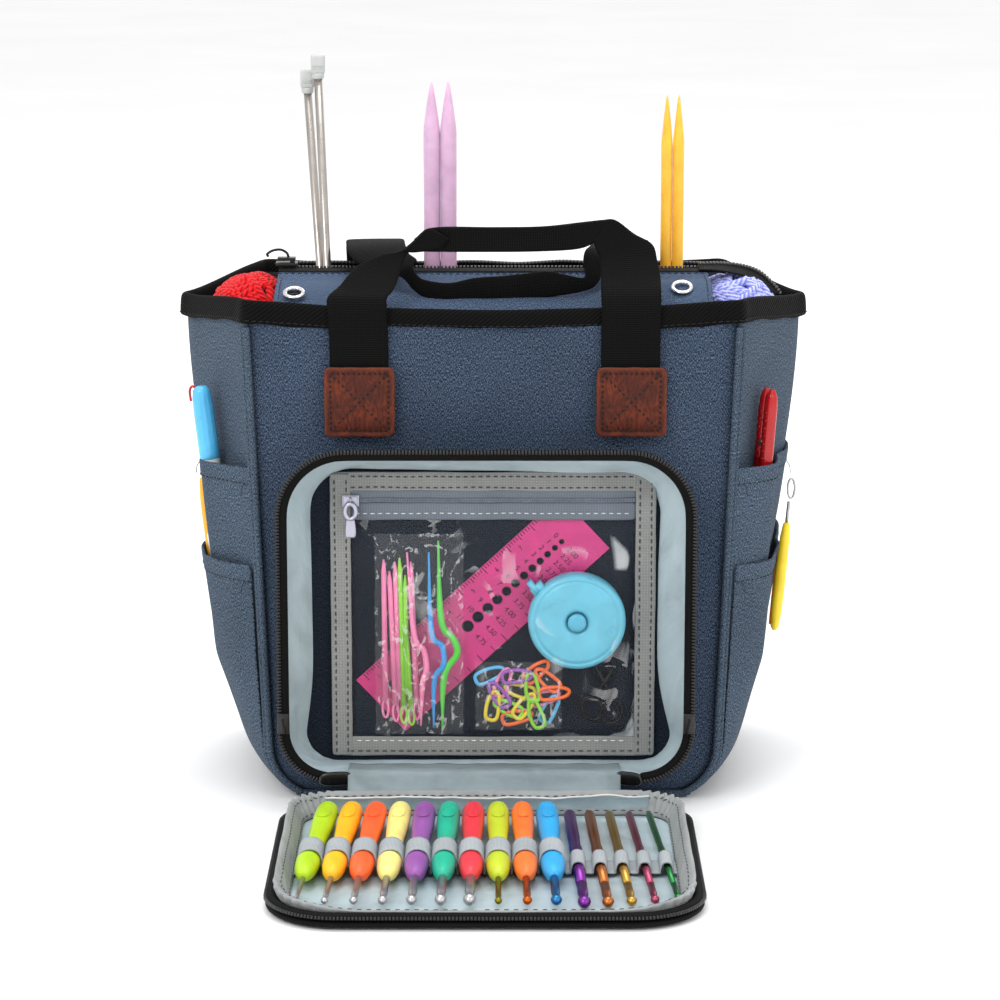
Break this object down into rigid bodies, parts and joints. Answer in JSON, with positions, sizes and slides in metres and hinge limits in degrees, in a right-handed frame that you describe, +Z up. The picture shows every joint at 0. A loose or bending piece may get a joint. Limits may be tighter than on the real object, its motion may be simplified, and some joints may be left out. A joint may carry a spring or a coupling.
{
  "type": "knitting bag",
  "caption": "Canvas knitting tote with webbing handles, side pockets, a zipped top and a fold-down front pocket door that holds crochet hooks, with needles and notions in place.",
  "frame": {"origin": "centre of the bag's base, on the ground", "axes": "+Z up, front of the bag towards -Y, +X to the right seen from the front"},
  "size_m": [0.3266, 0.3564, 0.3742],
  "materials": {
    "denim": "heathered woven canvas",
    "binding": "black twill tape",
    "webbing": "black ribbed webbing",
    "leather": "brown leather patch",
    "lining": "pale blue lining",
    "grey_tape": "grey grosgrain",
    "board": "stiff base board",
    "zip": "black zip",
    "zip_grey": "grey blue zip",
    "metal": "bright metal",
    "steel": "grey steel",
    "vinyl": "clear soft vinyl",
    "pink": "pink plastic",
    "sky": "sky blue plastic",
    "green": "green plastic",
    "orange": "orange plastic",
    "lime": "soft lime grip",
    "amber": "soft amber grip",
    "orange_red": "soft orange red grip",
    "cream": "soft pale yellow grip",
    "violet": "soft violet grip",
    "teal": "soft teal grip",
    "red": "soft red grip",
    "blue": "soft blue grip",
    "anodised": "anodised aluminium",
    "purple": "purple plastic",
    "yellow": "yellow plastic",
    "yarn_red": "chunky red yarn",
    "yarn_lavender": "chunky lavender yarn",
    "translucent_red": "translucent red plastic"
  },
  "bodies": {
    "bag": {"base_panel": "denim", "front_panel": "denim", "back_panel": "denim", "left_gusset": "denim", "right_gusset": "denim", "base_board": "board", "rim_binding": "binding", "seam_piping": "denim", "front_zip_flap": "denim", "rear_zip_flap": "denim", "eyelets": "metal", "top_zip_tapes": "zip", "strap_ends": "webbing", "leather_patches": "leather", "upper_side_pockets": "denim", "lower_side_pockets": "denim", "pocket_wall": "denim", "pocket_zip_tape": "zip", "window_binding": "grey_tape", "window_zip_tape": "zip_grey", "window_vinyl": "vinyl", "gauge_ruler": "pink", "tape_case": "sky", "plastic_needles": "green", "stitch_markers": "orange", "red_yarn": "yarn_red", "lavender_yarn": "yarn_lavender"},
    "front_handle": {"front_handle": "webbing"},
    "rear_handle": {"rear_handle": "webbing"},
    "door": {"door_panel": "denim", "door_zip_tape": "zip", "door_border": "grey_tape", "door_lining": "lining", "hinge_strip": "lining", "hook_band": "grey_tape", "crochet_hook_01": "lime", "crochet_hook_02": "amber", "crochet_hook_03": "orange_red", "crochet_hook_04": "cream", "crochet_hook_05": "violet", "crochet_hook_06": "teal", "crochet_hook_07": "red", "crochet_hook_08": "lime", "crochet_hook_09": "orange_red", "crochet_hook_10": "blue", "slim_hooks": "anodised"},
    "top_slider": {"top_zip_slider": "zip"},
    "left_door_slider": {"left_door_slider": "zip"},
    "right_door_slider": {"right_door_slider": "zip"},
    "window_slider": {"window_slider": "steel"},
    "window_pull": {"window_pull": "steel"},
    "tape_button": {"tape_button": "sky"},
    "steel_needles": {"steel_needles": "steel"},
    "purple_needles": {"purple_needles": "purple"},
    "yellow_needles": {"yellow_needles": "yellow"},
    "marker_pen": {"marker_pen": "sky"},
    "pencil": {"pencil": "yellow"},
    "red_scissors": {"red_scissors": "translucent_red"},
    "thread_snips": {"thread_snips": "yellow"}
  },
  "joints": [
    {"name": "front_handle_swing", "type": "hinge", "parent": "bag", "child": "front_handle", "pos_m": [0, -0.076, 0.262], "axis": [1, 0, 0], "range_deg": [0, 190]},
    {"name": "rear_handle_swing", "type": "hinge", "parent": "bag", "child": "rear_handle", "pos_m": [0, 0.076, 0.262], "axis": [-1, 0, 0], "range_deg": [0, 235]},
    {"name": "door_swing", "type": "hinge", "parent": "bag", "child": "door", "pos_m": [0, -0.101, 0.009], "axis": [-1, 0, 0], "range_deg": [0, 90]},
    {"name": "top_zip_travel", "type": "slide", "parent": "bag", "child": "top_slider", "axis": [1, 0, 0], "range_m": [0, 0.2]},
    {"name": "left_door_zip_travel", "type": "slide", "parent": "bag", "child": "left_door_slider", "axis": [0, 0, 1], "range_m": [0, 0.095]},
    {"name": "right_door_zip_travel", "type": "slide", "parent": "bag", "child": "right_door_slider", "axis": [0, 0, 1], "range_m": [0, 0.095]},
    {"name": "window_zip_travel", "type": "slide", "parent": "bag", "child": "window_slider", "axis": [1, 0, 0], "range_m": [0, 0.134]},
    {"name": "window_pull_swing", "type": "hinge", "parent": "window_slider", "child": "window_pull", "pos_m": [-0.072, -0.0804, 0.156], "axis": [-1, 0, 0], "range_deg": [0, 80]},
    {"name": "tape_button_press", "type": "slide", "parent": "bag", "child": "tape_button", "axis": [0, 1, 0], "range_m": [0, 0.0012], "stiffness_N_per_m": 400},
    {"name": "steel_needles_lift", "type": "slide", "parent": "bag", "child": "steel_needles", "axis": [-0.0475, 0, 0.9989], "range_m": [0, 0.25]},
    {"name": "purple_needles_lift", "type": "slide", "parent": "bag", "child": "purple_needles", "axis": [0, 0, 1], "range_m": [0, 0.25]},
    {"name": "yellow_needles_lift", "type": "slide", "parent": "bag", "child": "yellow_needles", "axis": [0, 0, 1], "range_m": [0, 0.25]},
    {"name": "marker_pen_lift", "type": "slide", "parent": "bag", "child": "marker_pen", "axis": [-0.0833, -0.0071, 0.9965], "range_m": [0, 0.08]},
    {"name": "pencil_lift", "type": "slide", "parent": "bag", "child": "pencil", "axis": [-0.1068, -0.0071, 0.9943], "range_m": [0, 0.05]},
    {"name": "red_scissors_lift", "type": "slide", "parent": "bag", "child": "red_scissors", "axis": [0.0705, -0.0071, 0.9975], "range_m": [0, 0.07]},
    {"name": "thread_snips_lift", "type": "slide", "parent": "bag", "child": "thread_snips", "axis": [0.096, -0.0071, 0.9954], "range_m": [0, 0.05]}
  ]
}
